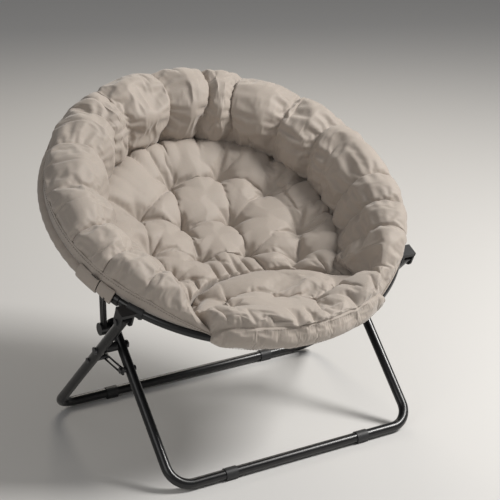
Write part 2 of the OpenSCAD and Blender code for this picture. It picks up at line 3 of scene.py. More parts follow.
import bpy
import numpy as np
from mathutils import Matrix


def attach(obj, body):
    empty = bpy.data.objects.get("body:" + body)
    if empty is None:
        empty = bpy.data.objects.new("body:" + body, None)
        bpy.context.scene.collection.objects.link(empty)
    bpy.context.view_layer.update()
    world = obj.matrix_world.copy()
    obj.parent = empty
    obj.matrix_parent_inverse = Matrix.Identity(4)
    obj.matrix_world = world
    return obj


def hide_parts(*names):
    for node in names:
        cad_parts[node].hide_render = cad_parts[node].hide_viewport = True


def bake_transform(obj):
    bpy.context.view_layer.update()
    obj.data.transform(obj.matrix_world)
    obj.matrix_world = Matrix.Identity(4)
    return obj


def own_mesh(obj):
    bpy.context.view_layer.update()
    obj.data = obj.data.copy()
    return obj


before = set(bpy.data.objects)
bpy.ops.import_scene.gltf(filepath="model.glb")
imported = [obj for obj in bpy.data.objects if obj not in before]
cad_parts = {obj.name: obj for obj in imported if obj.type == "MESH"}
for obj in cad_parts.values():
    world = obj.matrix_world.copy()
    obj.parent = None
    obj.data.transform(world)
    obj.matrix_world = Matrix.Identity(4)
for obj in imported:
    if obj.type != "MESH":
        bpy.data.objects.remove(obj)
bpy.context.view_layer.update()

# Floor and light: a plain pale floor and three large soft lamps, with the camera at a
# standing person's height in front of the chair's left corner, as in the photograph.
scene = bpy.context.scene
scene.view_settings.view_transform = "Standard"


def plain_material(name, color, roughness):
    material = bpy.data.materials.new(name)
    material.use_nodes = True
    shader = material.node_tree.nodes["Principled BSDF"]
    shader.inputs["Base Color"].default_value = (*color, 1)
    shader.inputs["Roughness"].default_value = roughness
    return material


bpy.ops.mesh.primitive_plane_add(size=14, location=(0, 2, 0))
floor = bpy.context.object
floor.name = "floor"
floor.data.materials.append(plain_material("pale_floor", (0.70, 0.69, 0.675), 0.8))

camera = bpy.data.objects.new("camera", bpy.data.cameras.new("camera"))
scene.collection.objects.link(camera)
camera.location = (-1.5593, -2.7423, 1.5434)
camera.rotation_euler = (math.radians(90 - 20.14), 0, math.radians(-30.58))
camera.data.lens = 108.2
camera.data.sensor_width = 36
scene.camera = camera


def soft_lamp(name, place, aim, size, power, color):
    lamp = bpy.data.objects.new(name, bpy.data.lights.new(name, "AREA"))
    scene.collection.objects.link(lamp)
    lamp.location = place
    lamp.data.size = size
    lamp.data.energy = power
    lamp.data.color = color
    way = np.array(aim) - np.array(place)
    turn = math.atan2(way[0], way[1])
    drop = math.atan2(-way[2], math.hypot(way[0], way[1]))
    lamp.rotation_euler = (math.radians(90) - drop, 0, -turn)


soft_lamp("key_lamp", (2.2, -1.3, 2.6), (0, 0, 0.4), 1.0, 124, (1.0, 0.985, 0.96))
soft_lamp("window_lamp", (-2.6, -1.6, 1.9), (0, 0, 0.4), 1.8, 17, (1.0, 0.99, 0.97))
soft_lamp("warm_lamp", (1.2, 2.4, 2.3), (0, 0, 0.4), 1.2, 22, (1.0, 0.93, 0.82))
world = bpy.data.worlds.new("room")
scene.world = world
world.use_nodes = True
sky = world.node_tree.nodes["Background"]
sky.inputs["Color"].default_value = (0.93, 0.93, 0.94, 1)
sky.inputs["Strength"].default_value = 0.17

# Leg frames, hoop tubes, brace links, hinge plates and struts: bent steel tube and pressed
# plate under one glossy black powder coat, with the coat's fine orange-peel skin.


def coated(name, color, roughness, grain, bump, metallic=0.0):
    material = plain_material(name, color, roughness)
    tree = material.node_tree
    shader = tree.nodes["Principled BSDF"]
    shader.inputs["Metallic"].default_value = metallic
    spot = tree.nodes.new("ShaderNodeTexCoord")
    cloud = tree.nodes.new("ShaderNodeTexNoise")
    cloud.inputs["Scale"].default_value = 7
    cloud.inputs["Detail"].default_value = 5
    tree.links.new(spot.outputs["Object"], cloud.inputs["Vector"])
    tone = tree.nodes.new("ShaderNodeValToRGB")
    tone.color_ramp.elements[0].position = 0.3
    tone.color_ramp.elements[0].color = (*[c * 0.8 for c in color], 1)
    tone.color_ramp.elements[1].position = 0.75
    tone.color_ramp.elements[1].color = (*[min(1, c * 1.25) for c in color], 1)
    tree.links.new(cloud.outputs["Fac"], tone.inputs["Fac"])
    tree.links.new(tone.outputs["Color"], shader.inputs["Base Color"])
    spread = tree.nodes.new("ShaderNodeMapRange")
    spread.inputs["To Min"].default_value = roughness * 0.85
    spread.inputs["To Max"].default_value = roughness * 1.25
    tree.links.new(cloud.outputs["Fac"], spread.inputs["Value"])
    tree.links.new(spread.outputs["Result"], shader.inputs["Roughness"])
    fine = tree.nodes.new("ShaderNodeTexNoise")
    fine.inputs["Scale"].default_value = grain
    fine.inputs["Detail"].default_value = 3
    tree.links.new(spot.outputs["Object"], fine.inputs["Vector"])
    skin = tree.nodes.new("ShaderNodeBump")
    skin.inputs["Strength"].default_value = bump
    skin.inputs["Distance"].default_value = 0.0004
    tree.links.new(fine.outputs["Fac"], skin.inputs["Height"])
    tree.links.new(skin.outputs["Normal"], shader.inputs["Normal"])
    return material


powder_coat = coated("gloss_black_powder_coat", (0.007, 0.007, 0.0075), 0.30, 900, 0.25)
powder_coat.node_tree.nodes["Principled BSDF"].inputs["Coat Weight"].default_value = 0.12


def finish_nodes(material, *names):
    for name in names:
        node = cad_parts[name]
        node.data.materials.clear()
        node.data.materials.append(material)
        for face in node.data.polygons:
            face.material_index = 0


finish_nodes(
    powder_coat,
    "rear_leg_left", "rear_leg_right", "rear_floor_bar",
    "front_leg_left", "front_leg_right", "front_floor_bar",
    "brace_link_left", "brace_link_right", "front_hoop_tube", "back_hoop_tube",
    "hinge_fork_left", "hinge_fork_right", "hinge_tongue_left", "hinge_tongue_right",
    "strut_left", "strut_right",
)

# Floor sleeves, plugs, spacers and saddles: black polypropylene mouldings with a fine
# matt grain, pushed or clamped on the tubes.
moulded = coated("matt_black_plastic", (0.022, 0.022, 0.023), 0.48, 1600, 0.5)
finish_nodes(
    moulded,
    "rear_floor_sleeves", "front_floor_sleeves", "rear_leg_plugs", "front_leg_plugs",
    "crossing_spacers", "saddle_left", "saddle_right",
)

# Bolts, rivets, studs and pins: steel with a dark zinc finish, their heads a little worn.
zinc = coated("dark_zinc", (0.10, 0.10, 0.105), 0.34, 500, 0.3, metallic=0.9)
finish_nodes(
    zinc,
    "crossing_bolts", "brace_studs", "brace_rivets", "strut_foot_pins", "saddle_pins",
    "saddle_screws", "hinge_pins", "strut_top_pins",
)

# Slings: two panels of black polyester that hang from the two halves of the hoop and
# carry the cushions, tight under their load.
TILT = math.radians(26.5)
HOOP_Y, HOOP_Z, HOOP_R = 0.010, 0.485, 0.401
DISH, DISH_R = 0.165, 0.387
HINGE_U = -0.155


def on_hoop(x, u, v):
    """Places across, along and above the hoop's plane, as places in the room."""
    y = HOOP_Y + u * math.cos(TILT) - v * math.sin(TILT)
    z = HOOP_Z + u * math.sin(TILT) + v * math.cos(TILT)
    return np.stack(np.broadcast_arrays(x, y, z), axis=-1)


def dish_v(x, u):
    ball = (DISH_R**2 + DISH**2) / (2 * DISH)
    return ball - DISH - np.sqrt(np.maximum(ball**2 - x**2 - u**2, 1e-6))


def mesh_piece(name, points, faces, material, smooth=True):
    mesh = bpy.data.meshes.new(name)
    mesh.from_pydata([tuple(p) for p in points], [], [tuple(int(i) for i in f) for f in faces])
    mesh.validate()
    mesh.materials.append(material)
    for face in mesh.polygons:
        face.use_smooth = smooth
    piece = bpy.data.objects.new(name, mesh)
    scene.collection.objects.link(piece)
    return piece


def grid_faces(rows, cols, start=0, flip=False):
    faces = []
    for i in range(rows - 1):
        for j in range(cols - 1):
            a = start + i * cols + j
            quad = (a, a + cols, a + cols + 1, a + 1)
            faces.append(quad[::-1] if flip else quad)
    return faces


def cloth_material(name, color, roughness, sheen, weave_pitch, weave_depth):
    material = plain_material(name, color, roughness)
    tree = material.node_tree
    shader = tree.nodes["Principled BSDF"]
    shader.inputs["Sheen Weight"].default_value = sheen
    shader.inputs["Sheen Roughness"].default_value = 0.45
    shader.inputs["Specular IOR Level"].default_value = 0.35
    spot = tree.nodes.new("ShaderNodeTexCoord")
    cloud = tree.nodes.new("ShaderNodeTexNoise")
    cloud.inputs["Scale"].default_value = 5
    cloud.inputs["Detail"].default_value = 6
    tree.links.new(spot.outputs["Object"], cloud.inputs["Vector"])
    tone = tree.nodes.new("ShaderNodeValToRGB")
    tone.color_ramp.elements[0].position = 0.3
    tone.color_ramp.elements[0].color = (*[c * 0.93 for c in color], 1)
    tone.color_ramp.elements[1].position = 0.7
    tone.color_ramp.elements[1].color = (*[min(1, c * 1.06) for c in color], 1)
    tree.links.new(cloud.outputs["Fac"], tone.inputs["Fac"])
    fibre = tree.nodes.new("ShaderNodeTexNoise")
    fibre.inputs["Scale"].default_value = 700
    fibre.inputs["Detail"].default_value = 2
    tree.links.new(spot.outputs["Object"], fibre.inputs["Vector"])
    mottle = tree.nodes.new("ShaderNodeMix")
    mottle.data_type = "RGBA"
    mottle.blend_type = "OVERLAY"
    mottle.inputs[0].default_value = 0.12
    tree.links.new(tone.outputs["Color"], mottle.inputs[6])
    tree.links.new(fibre.outputs["Color"], mottle.inputs[7])
    tree.links.new(mottle.outputs[2], shader.inputs["Base Color"])
    threads = []
    for axis in ("X", "Z"):
        wave = tree.nodes.new("ShaderNodeTexWave")
        wave.bands_direction = axis
        wave.inputs["Scale"].default_value = 0.314 / weave_pitch
        wave.inputs["Distortion"].default_value = 0.6
        tree.links.new(spot.outputs["Object"], wave.inputs["Vector"])
        threads.append(wave)
    cross = tree.nodes.new("ShaderNodeMath")
    cross.operation = "MULTIPLY"
    tree.links.new(threads[0].outputs["Fac"], cross.inputs[0])
    tree.links.new(threads[1].outputs["Fac"], cross.inputs[1])
    weave = tree.nodes.new("ShaderNodeBump")
    weave.inputs["Strength"].default_value = 0.35
    weave.inputs["Distance"].default_value = weave_depth
    tree.links.new(cross.outputs["Value"], weave.inputs["Height"])
    crumple = tree.nodes.new("ShaderNodeTexNoise")
    crumple.inputs["Scale"].default_value = 38
    crumple.inputs["Detail"].default_value = 4
    crumple.inputs["Distortion"].default_value = 0.8
    tree.links.new(spot.outputs["Object"], crumple.inputs["Vector"])
    creases = tree.nodes.new("ShaderNodeBump")
    creases.inputs["Strength"].default_value = 0.3
    creases.inputs["Distance"].default_value = 0.0025
    tree.links.new(crumple.outputs["Fac"], creases.inputs["Height"])
    tree.links.new(weave.outputs["Normal"], creases.inputs["Normal"])
    tree.links.new(creases.outputs["Normal"], shader.inputs["Normal"])
    return material


lining_cloth = cloth_material("black_lining", (0.016, 0.016, 0.017), 0.8, 0.15, 0.0016, 0.0004)
LINING_T = 0.0016
SLING_DROP = 0.001
SLING_REACH = DISH_R * 0.995


def sling(name, u_edge, front):
    """Panel of the dish on one side of the line across the hinge, and its area."""
    rows, cols = 40, 60
    edge = math.asin(-u_edge / SLING_REACH)
    points = []
    for i in range(rows):
        share = i / (rows - 1)
        for j in range(cols):
            if front:
                turn = math.pi + edge + (math.pi - 2 * edge) * j / (cols - 1)
            else:
                turn = -edge + (math.pi + 2 * edge) * j / (cols - 1)
            rim = np.array([SLING_REACH * math.cos(turn), SLING_REACH * math.sin(turn)])
            base = np.array([rim[0] * 0.999, u_edge])
            points.append(base * (1 - share) + rim * share)
    flat = np.array(points)
    top = on_hoop(flat[:, 0], flat[:, 1], dish_v(flat[:, 0], flat[:, 1]) - SLING_DROP)
    piece = mesh_piece(name, top, grid_faces(rows, cols, flip=front), lining_cloth)
    area = sum(p.area for p in piece.data.polygons)
    skin = piece.modifiers.new("skin", "SOLIDIFY")
    skin.thickness = LINING_T
    skin.offset = 0
    return piece, area


def bend_at_hinge(piece):
    """Bakes the placement of a piece that is joined to both halves of the hoop into its mesh; the
    piece is attached to neither half.
    """
    tuple(on_hoop(0, -0.02, -0.08))
    tuple(on_hoop(0, -0.20, -0.08))
    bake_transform(piece)


HALF_SLIT = 0.001
HEM_SHARE = 1.2
back_panel, back_area = sling("back_sling_cloth", HINGE_U + HALF_SLIT, False)
front_panel, front_area = sling("front_sling_cloth", HINGE_U - HALF_SLIT, True)
for panel, area, body, node in (
    (back_panel, back_area, "back_hoop", "back_sling"),
    (front_panel, front_area, "front_hoop", "front_sling"),
):
    side = math.sqrt(area * HEM_SHARE)
    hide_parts(node)
    if body == "back_hoop":
        bend_at_hinge(panel)
    else:
        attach(panel, body)

# Seat cushion: a polyester cover filled with loose fibre, tacked through at a few points
# and sewn to the back cushion along an arc; its front swells up to the rim's seam.
cover_cloth = cloth_material("taupe_cover", (0.425, 0.370, 0.322), 0.6, 0.3, 0.0013, 0.0003)
JUNCTION_R, JUNCTION_BACK = 0.230, 0.126
rng = np.random.default_rng(7)


def puff(piece, held, pressure, grow, frames, cap, bend, free=1.0):
    """Swells a piece as filled cloth while its held points stay, and keeps the result.

    No point moves further than cap, and free is the share of its move that it keeps.
    """
    count = len(piece.data.vertices)
    start = np.empty(count * 3)
    piece.data.vertices.foreach_get("co", start)
    start = start.reshape(-1, 3)
    group = piece.vertex_groups.new(name="held")
    for i in np.nonzero(held > 0)[0]:
        group.add([int(i)], float(held[i]), "REPLACE")
    cloth = piece.modifiers.new("filling", "CLOTH")
    cloth.settings.quality = 6
    cloth.settings.mass = 0.25
    cloth.settings.tension_stiffness = 14
    cloth.settings.compression_stiffness = 14
    cloth.settings.shear_stiffness = 4
    cloth.settings.bending_stiffness = bend
    cloth.settings.vertex_group_mass = "held"
    cloth.settings.use_pressure = True
    cloth.settings.uniform_pressure_force = pressure
    cloth.settings.shrink_min = -grow
    cloth.settings.effector_weights.gravity = 0
    cloth.collision_settings.use_collision = False
    cloth.point_cache.frame_start = 1
    cloth.point_cache.frame_end = frames
    for f in range(1, frames + 1):
        scene.frame_set(f)
    seen = piece.evaluated_get(bpy.context.evaluated_depsgraph_get())
    swollen = np.empty(count * 3)
    seen.data.vertices.foreach_get("co", swollen)
    move = swollen.reshape(-1, 3) - start
    length = np.linalg.norm(move, axis=1, keepdims=True)
    move *= np.minimum(1, cap / np.maximum(length, 1e-9)) * np.reshape(free, (-1, 1))
    piece.modifiers.remove(cloth)
    scene.frame_set(1)
    piece.data.vertices.foreach_set("co", (start + move).ravel())
    piece.data.update()


def near(x, u, spots):
    """Distance to the nearest of some spots, the direction from it and which it is."""
    gap = np.stack([np.hypot(x - s[0], u - s[1]) for s in spots])
    first = gap.argmin(axis=0)
    turn = np.stack([np.arctan2(u - s[1], x - s[0]) for s in spots])
    return gap.min(axis=0), np.take_along_axis(turn, first[None], 0)[0], first


def chain(x, u, links, spots):
    """Distance to the nearest straight line between linked spots."""
    best = np.full(np.shape(x), 1.0)
    for a, b in links:
        p, q = np.array(spots[a]), np.array(spots[b])
        way = q - p
        share = np.clip(((x - p[0]) * way[0] + (u - p[1]) * way[1]) / (way @ way), 0, 1)
        best = np.minimum(best, np.hypot(x - p[0] - share * way[0], u - p[1] - share * way[1]))
    return best


def quilted(name, x, u, top, low, rows, cols):
    """Closed cushion from a grid of tops and a grid of undersides."""
    points = np.concatenate([on_hoop(x, u, top).reshape(-1, 3), on_hoop(x, u, low).reshape(-1, 3)])
    n = rows * cols
    faces = grid_faces(rows, cols) + grid_faces(rows, cols, start=n, flip=True)
    edge = [i * cols for i in range(rows)]
    edge += [(rows - 1) * cols + j for j in range(1, cols)]
    edge += [i * cols + cols - 1 for i in range(rows - 2, -1, -1)]
    edge += [j for j in range(cols - 2, 0, -1)]
    for a, b in zip(edge, edge[1:] + edge[:1]):
        faces.append((a, n + a, n + b, b))
    return mesh_piece(name, points, faces, cover_cloth)


def filled_top(x, u, edge_gap, thick, spots, links):
    """Height of a tacked cushion above its bed: round between its tacks, drawn in at them."""
    gap, turn, first = near(x, u, spots)
    line = chain(x, u, links, spots)
    body = thick * (1 - np.exp(-edge_gap / 0.024)) ** 0.55
    pull = 0.44 * np.exp(-((gap / 0.022) ** 1.1)) + 0.12 * np.exp(-((gap / 0.062) ** 2))
    channel = 0.13 * np.exp(-np.abs(line) / 0.009)
    phase = rng.uniform(0, 6.28, len(spots))[first]
    folds = np.abs(np.sin(3.5 * turn + phase + 0.6 * np.sin(2 * turn)))
    folds = 0.10 * (folds - 0.6) * np.exp(-gap / 0.05) * (1 - np.exp(-gap / 0.012))
    return body * (1 - np.minimum(0.8, pull + channel) + folds)


def pinned_grid(rows, cols, pins):
    """Full hold on the underside and on the marked points of the top."""
    held = np.zeros(2 * rows * cols)
    held[rows * cols:] = 1
    held[:rows * cols][pins.ravel()] = 1
    return held


def soft_piece(piece, fill, body, *nodes):
    smooth = piece.modifiers.new("round", "SUBSURF")
    smooth.levels = smooth.render_levels = 1
    if nodes:
        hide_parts(*nodes)
    if body:
        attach(piece, body)


SEAM_R, SEAM_V, SEAM_LOW = 0.4035, 0.046, 0.003
TIP_A = math.radians(31)


def front_seam(turn):
    """Height of the front seam at a turn from the middle of the front: low at both ends."""
    climb = 1 - np.exp(-np.maximum(TIP_A + 0.012 - turn, 0) / 0.070)
    return SEAM_LOW + (SEAM_V - SEAM_LOW) * climb


SEAT_HALF = 0.211
BED_GAP = 0.005
LEVEL_V, SIDE_RISE, SIDE_AT = -0.070, 0.024, 0.192
CLIMB_R = 0.355
seat_tacks = [(-0.101, -0.230), (-0.136, -0.292), (-0.003, -0.272), (0.060, -0.312),
              (0.129, -0.284)]
seat_links = [(0, 1), (0, 2), (2, 3), (3, 4)]
rows, cols = 108, 80
f = np.linspace(-1, 1, rows)[:, None] * np.ones((1, cols))
g = np.linspace(0, 1, cols)[None, :] * np.ones((rows, 1))
seat_x = SEAT_HALF * f
seat_front = -np.sqrt(SEAM_R**2 - seat_x**2)
seat_back = -JUNCTION_BACK - JUNCTION_R + np.sqrt(JUNCTION_R**2 - seat_x**2)
seat_u = seat_front * (1 - g) + seat_back * g
bed = dish_v(seat_x, seat_u) + BED_GAP
seam_v = front_seam(np.arcsin(np.abs(seat_x) / SEAM_R))
over_rim = np.clip((np.hypot(seat_x, seat_u) - CLIMB_R) / (SEAM_R - CLIMB_R), 0, 1)
bed = bed + (seam_v - 0.004 - bed) * over_rim**1.5
level = LEVEL_V - (seat_u + JUNCTION_BACK) * math.tan(TILT) + SIDE_RISE * (seat_x / SIDE_AT) ** 2
side_gap = SEAT_HALF * (1 - np.abs(f))
back_gap = (1 - g) * (seat_back - seat_front)
front_gap = g * (seat_back - seat_front)
gap, turn, first = near(seat_x, seat_u, seat_tacks)
line = chain(seat_x, seat_u, seat_links, seat_tacks)
dents = 0.020 * np.exp(-((gap / 0.026) ** 1.2)) + 0.008 * np.exp(-((gap / 0.060) ** 2))
dents = dents + 0.007 * np.exp(-np.abs(line) / 0.008)
folds = np.abs(np.sin(2.5 * turn + first * 1.7)) * 0.006 * np.exp(-gap / 0.035)
swell = 0.008 * np.sin(seat_x * 17 + 1.2) * np.sin(seat_u * 22)
crown = (1 - np.exp(-back_gap / 0.014)) * (0.82 + 0.18 * (1 - np.exp(-side_gap / 0.022)))
seat_top = bed + (level + swell - dents + folds - bed) * crown
fall = np.clip(front_gap / 0.040, 0, 1)
fall = np.sqrt(fall * (2 - fall))
pleat = np.abs(np.sin(seat_x / 0.0175 + 1.1 * np.sin(seat_x * 31) + 0.4))
ruffle = 0.007 * (pleat - 0.55) * np.exp(-(((front_gap - 0.012) / 0.024) ** 2))
seat_top = np.maximum(seat_top * fall + seam_v * (1 - fall) + ruffle, bed + 0.003)
seat = quilted("seat_cushion", seat_x, seat_u, seat_top, bed, rows, cols)
edge = (g < 0.001) | (g > 0.999) | (np.abs(f) > 0.999) | (gap < 0.005)
puff(seat, pinned_grid(rows, cols, edge), 2.2, 0.16, 20, 0.010, 0.05)
soft_piece(seat, 0.6, "front_hoop", "seat_pad")

# Back cushion: the same filled cover, tacked in staggered rows, with gathers where its
# foot is sewn to the seat and where the roll is sewn round it.
back_tacks = [(-0.151, 0.091), (-0.032, 0.171), (0.093, 0.171), (0.182, 0.092), (-0.052, 0.058),
              (0.070, 0.047), (-0.058, -0.052), (0.058, -0.066), (0.196, -0.045), (-0.174, -0.025),
              (0.152, -0.124), (-0.164, -0.114)]
back_links = [(0, 1), (1, 2), (2, 3), (1, 4), (4, 5), (2, 5), (0, 4), (5, 3), (4, 6), (5, 7),
              (3, 8), (0, 9), (7, 10), (8, 10), (9, 11)]
# Ring angles of the roll's creases, counted from the right side by way of the back.
CREASES = np.radians([-50, -36, -22.74, -8.6, 3, 16, 36.5, 56, 75.5, 94.5, 115, 133, 151, 168.5,
                      188.6, 202.74, 216, 230])
rows, cols = 136, 116
BACK_R, BACK_HALF, CORNER_R = 0.300, 0.290, 0.332
TUCK_R, TUCK_T, BACK_T = 0.276, 0.032, 0.066
f = np.linspace(-1, 1, rows)[:, None] * np.ones((1, cols))
g = np.linspace(0, 1, cols)[None, :] * np.ones((rows, 1))
back_x = BACK_HALF * f
outer = np.sqrt(BACK_R**2 - back_x**2)
arc = -JUNCTION_BACK - JUNCTION_R + np.sqrt(np.maximum(JUNCTION_R**2 - back_x**2, 0)) + 0.0005
corner = -np.sqrt(CORNER_R**2 - back_x**2)
foot = np.where(np.abs(back_x) < JUNCTION_R, np.maximum(arc, corner), corner)
back_u = foot * (1 - g) + outer * g
bed = dish_v(back_x, back_u) + BED_GAP
rim_gap = TUCK_R - np.hypot(back_x, back_u)
foot_gap = np.where(np.abs(back_x) < 0.2, g * (outer - foot), 1.0)
inside = np.maximum(rim_gap, 0)
body = filled_top(back_x, back_u, foot_gap + 0.045, BACK_T, back_tacks, back_links)
body = TUCK_T + (body - TUCK_T) * (1 - np.exp(-inside / 0.030)) ** 0.8
body = body + np.minimum(rim_gap, 0) * 0.3
around = np.arctan2(back_u, back_x)
around = np.where(around < -math.pi / 2, around + 2 * math.pi, around)
pulls = np.zeros_like(body)
for turn in CREASES:
    pulls = np.maximum(pulls, np.exp(-np.abs(around - turn) * 0.27 / 0.010))
rays = 0.006 * np.abs(np.sin(around * 17 + 0.9 * np.sin(around * 7))) - 0.009 * pulls
rays = rays * np.exp(-inside / 0.045)
hem = (1 - np.abs(np.sin(back_x / 0.0125 + 1.5 * np.sin(back_x * 29)))) ** 2
hem = 0.004 * np.exp(-foot_gap / 0.05) - 0.015 * hem * np.exp(-(((foot_gap - 0.018) / 0.030) ** 2))
back_top = np.maximum(bed + body + rays + hem, bed + 0.004)
back = quilted("back_cushion", back_x, back_u, back_top, bed, rows, cols)
gap, _, _ = near(back_x, back_u, back_tacks)
edge = (g < 0.001) | (g > 0.999) | (np.abs(f) > 0.999) | (gap < 0.005)
puff(back, pinned_grid(rows, cols, edge), 3.0, 0.15, 22, 0.011, 0.05)
soft_piece(back, 0.65, None, "back_pad")
# Its foot is sewn to the seat, in front of the hinge, so it is attached to neither half of the
# hoop; its placement is baked into its mesh.
bend_at_hinge(back)

# Roll: a long sleeve of the cover filled with fibre, gathered to the cushions along its
# inner seam and sewn to the flat band at the tube; its two front ends run out to points.
HINGE_A = math.asin(-HINGE_U / HOOP_R)
SIDE_U = -0.060
SIDE_A = math.asin(SIDE_U / HOOP_R)
LIP_R, TIP_V = 0.4047, 0.006
# Section of the roll as it is at full size, from the outer seam over the crest to the
# inner seam and back underneath.
roll_outline = np.array([
    (0.4045, 0.044), (0.4030, 0.060), (0.392, 0.075), (0.372, 0.084), (0.348, 0.087),
    (0.322, 0.083), (0.299, 0.071), (0.282, 0.052), (0.272, 0.028), (0.269, 0.004),
    (0.271, -0.020), (0.278, -0.041), (0.296, -0.046), (0.318, -0.037), (0.342, -0.022),
    (0.364, -0.004), (0.382, 0.014), (0.394, 0.030),
])


def closed_curve(points, count):
    """Evenly spaced places on a smooth closed curve through some points."""
    n = len(points)
    fine = []
    for i in range(n):
        p0, p1, p2, p3 = (points[(i + d) % n] for d in (-1, 0, 1, 2))
        for t in np.linspace(0, 1, 16, endpoint=False):
            fine.append(0.5 * (2 * p1 + (p2 - p0) * t + (2 * p0 - 5 * p1 + 4 * p2 - p3) * t * t
                               + (3 * p1 - p0 - 3 * p2 + p3) * t**3))
    fine = np.array(fine + [fine[0]])
    run = np.concatenate([[0], np.cumsum(np.linalg.norm(np.diff(fine, axis=0), axis=1))])
    where = np.linspace(0, run[-1], count, endpoint=False)
    return np.stack([np.interp(where, run, fine[:, d]) for d in (0, 1)], axis=1)


ROLL_COLS = 54
outline = closed_curve(roll_outline, ROLL_COLS)
t = np.arange(ROLL_COLS) / ROLL_COLS
heart = np.array([0.342, 0.024])
inner_seam = roll_outline[11]
inner_t = t[np.hypot(outline[:, 0] - inner_seam[0], outline[:, 1] - inner_seam[1]).argmin()]
crease_depth = np.array([0.7, 0.9, 1, 1, 0.5, 1, 1, 1, 1, 1, 1, 0.8, 1, 0.9, 1, 1, 0.8, 0.5])
crease_lean = rng.uniform(-0.10, 0.10, len(CREASES))
crease_lean[[2, 3, 14, 15]] = 0
pleats = np.arange(-60.0, 245.0, 6.1) + rng.uniform(-2, 2, 50)
pleats = np.radians(pleats)
pleat_depth = rng.uniform(0.0, 1.0, len(pleats)) ** 1.5


def around_t(centre, width):
    gap = np.abs((t - centre + 0.5) % 1 - 0.5)
    return np.exp(-((gap / width) ** 2))


def away(angles):
    """Turn of some ring angles from the middle of the front."""
    return np.abs(np.arctan2(np.sin(angles + math.pi / 2), np.cos(angles + math.pi / 2)))


TIP_WIDENS, TIP_RISES, TIP_EARLY = math.radians(14), math.radians(20), math.radians(0.6)


def taper(angles):
    """How wide and how high the roll is at some ring angles: full but for its front tips."""
    wide = np.clip((away(angles) - TIP_A) / TIP_WIDENS, 0, 1) * 0.97 + 0.03
    high = np.clip((away(angles) - TIP_A + TIP_EARLY) / TIP_RISES, 0, 1) ** 0.75
    return wide, high


def roll_points(angles, shrinks):
    """Surface of the roll at some ring angles from the right side, drawn in at its creases."""
    a = angles[:, None]
    wide, high = (w[:, None] for w in taper(angles))
    rise = np.sin(math.pi * np.clip(t / inner_t, 0, 1))[None, :]
    top = np.where(t < inner_t, 1, np.exp(-(t - inner_t) / 0.05))[None, :]
    low = around_t(inner_t, 0.16)[None, :]
    valley = np.zeros((len(angles), ROLL_COLS))
    for turn, depth in zip(CREASES, crease_depth):
        gap = np.abs(a - turn) * 0.34
        ridge = np.exp(-gap / 0.012) + 0.35 * np.exp(-((gap / 0.045) ** 2))
        cut = 0.21 * rise**0.8 * depth + 0.09 * low
        valley = np.maximum(valley, depth * ridge * cut * top)
    outer = around_t(0.06, 0.13)[None, :]
    for turn, depth in zip(pleats, pleat_depth):
        gap = np.abs(a - turn - 0.02 * np.sin(8 * t)[None, :]) * 0.38
        valley = valley + 0.10 * depth * np.exp(-gap / 0.006) * outer
    g = (1.03 - valley) * shrinks[:, None]
    r = heart[0] + (outline[:, 0] - heart[0])[None, :] * g
    v = heart[1] + (outline[:, 1] - heart[1])[None, :] * g
    slim = np.interp(away(a), np.radians([31, 44.5, 58, 75, 100]), [0.6, 0.64, 0.73, 0.85, 1])
    slim = 1 - (1 - slim) * np.clip((v + 0.030) / 0.060, 0, 1)
    r = np.minimum(SEAM_R + (r - SEAM_R) * wide * slim, LIP_R)
    v = TIP_V + (v - TIP_V) * high
    a = a + np.interp(a, CREASES, crease_lean) * rise
    return on_hoop(r * np.cos(a), r * np.sin(a), v)


def roll(name, a0, a1, body, node, squashed):
    """Part of the roll between two ring angles, closed and drawn in at both ends."""
    stops = [a0] + [c for c in CREASES if a0 + 0.02 < c < a1 - 0.02] + [a1]
    runs = [np.linspace(p, q, max(3, int((q - p) / 0.0095)), endpoint=False)
            for p, q in zip(stops, stops[1:])]
    angles = np.concatenate([np.full(5, a0)] + runs + [np.full(6, a1)])
    lead = np.array([0.06, 0.35, 0.62, 0.82, 0.94])
    shrinks = np.concatenate([lead, np.ones(len(angles) - 10), lead[::-1]])
    points = roll_points(angles, shrinks).reshape(-1, 3)
    total, cols = len(angles), ROLL_COLS
    faces = []
    for i in range(total - 1):
        for j in range(cols):
            a, b = i * cols + j, i * cols + (j + 1) % cols
            faces.append((a, b, b + cols, a + cols))
    faces.append(tuple(range(cols))[::-1])
    faces.append(tuple((total - 1) * cols + j for j in range(cols)))
    piece = mesh_piece(name, points, faces, cover_cloth)
    held = np.zeros((total, cols))
    held[:6] = held[-6:] = 1
    held[:, (t > inner_t + 0.03) | (t < 0.01)] = 1
    for turn, depth in zip(CREASES, crease_depth):
        i = int(np.abs(angles - turn).argmin())
        if 6 < i < total - 6 and abs(angles[i] - turn) < 0.01:
            held[i, (t > inner_t * (1.2 - 1.15 * depth)) & (t <= inner_t + 0.03)] = 1
    free = np.minimum(1, 1.4 * taper(angles)[1])[:, None] * np.ones(cols)
    puff(piece, held.ravel(), 3.2, 0.13, 18, 0.010, 0.10, free.ravel())
    soft_piece(piece, 0.7, body, node)
    if squashed:
        tuple(on_hoop(0, HINGE_U, 0.010))
        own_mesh(piece)


quarter = math.pi / 2
HALF_CUT_A = 0.0006
front_end = -HINGE_A - HALF_CUT_A
side_end = HALF_CUT_A - HINGE_A
roll("roll_front_right", TIP_A - quarter, front_end, "front_hoop", "roll_front_right", True)
roll("roll_front_left", math.pi - front_end, 3 * quarter - TIP_A, "front_hoop",
     "roll_front_left", True)
roll("roll_side_right", side_end, SIDE_A, "back_hoop", "roll_side_right", True)
roll("roll_side_left", math.pi - SIDE_A, math.pi - side_end, "back_hoop", "roll_side_left", True)
roll("roll_back", SIDE_A, math.pi - SIDE_A, "back_hoop", "roll_back", False)

